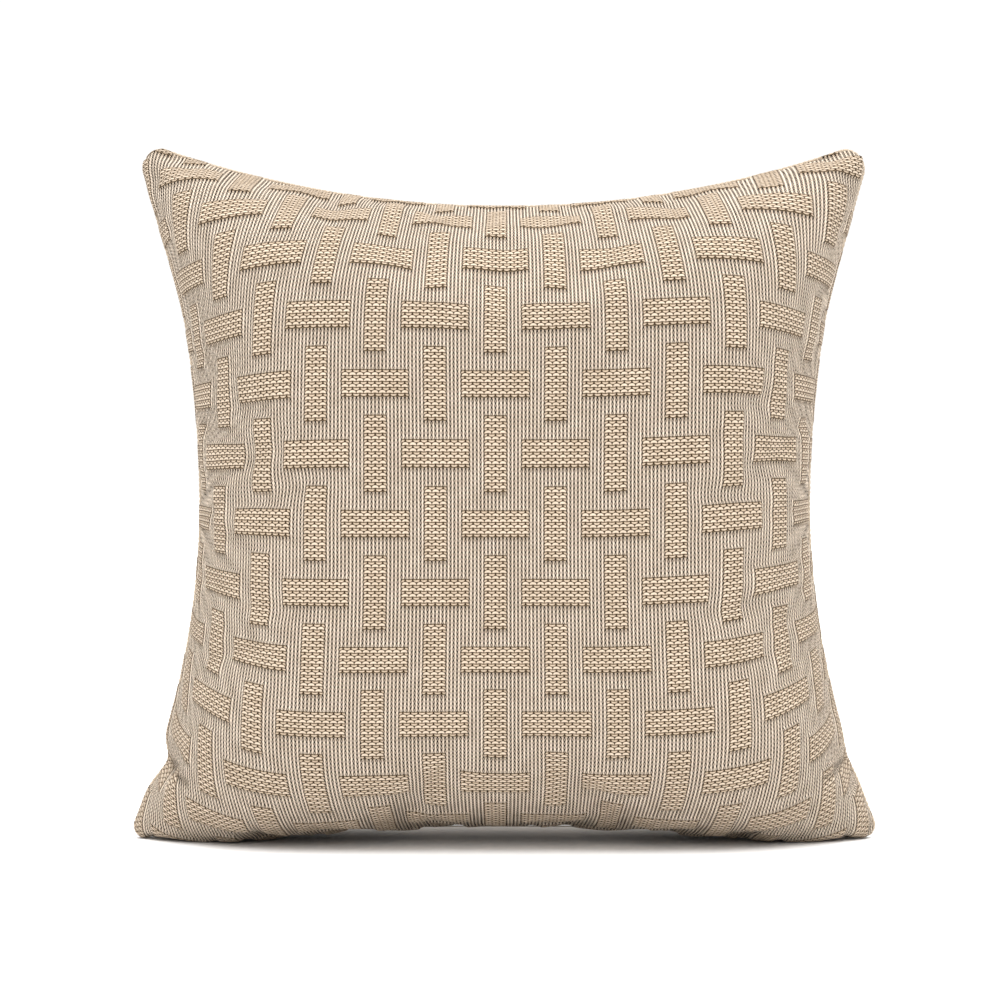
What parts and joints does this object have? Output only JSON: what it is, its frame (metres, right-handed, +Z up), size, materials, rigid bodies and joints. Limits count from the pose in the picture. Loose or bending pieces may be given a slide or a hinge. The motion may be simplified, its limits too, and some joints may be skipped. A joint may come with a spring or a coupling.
{
  "type": "throw pillow",
  "caption": "Square knitted throw pillow, a zipped cover over a separate filled insert, standing on its bottom edge.",
  "frame": {"origin": "centre of the bounding box's bottom face, on the surface the pillow stands on", "axes": "+X across the pillow, +Y through it from front to back, +Z up"},
  "size_m": [0.4722, 0.194, 0.442],
  "materials": {
    "cover_front": "matte chunky knit",
    "cover_back": "matte chunky knit",
    "linking_seam": "matte yarn",
    "zip_tape": "woven tape",
    "zip_coil": "smooth nylon",
    "zip_metal": "satin metal",
    "sewing_thread": "twisted thread",
    "insert_casing": "plain woven cloth",
    "insert_fill": "loose fibre",
    "label_satin": "satin"
  },
  "bodies": {
    "cover": {"cover_front": "cover_front", "cover_back": "cover_back", "linking_seam": "linking_seam", "zip_tape_front": "zip_tape", "zip_tape_back": "zip_tape", "zip_coil_front": "zip_coil", "zip_coil_back": "zip_coil", "zip_top_stop_front": "zip_metal", "zip_top_stop_back": "zip_metal", "zip_bottom_stop": "zip_metal", "zip_stitching_front": "sewing_thread", "zip_stitching_back": "sewing_thread", "insert_front": "insert_casing", "insert_back": "insert_casing", "insert_seam": "sewing_thread", "insert_fill": "insert_fill", "care_label": "label_satin", "insert_label": "label_satin"},
    "zip_slider": {"zip_slider": "zip_metal"},
    "zip_pull": {"zip_pull": "zip_metal"}
  },
  "joints": [
    {"name": "zip_slide", "type": "slide", "parent": "cover", "child": "zip_slider", "axis": [-1, 0, 0], "range_m": [0, 0.3]},
    {"name": "pull_hinge", "type": "hinge", "parent": "zip_slider", "child": "zip_pull", "pos_m": [0.15, 0, 0.009], "axis": [0, -1, 0], "range_deg": [0, 180]}
  ]
}
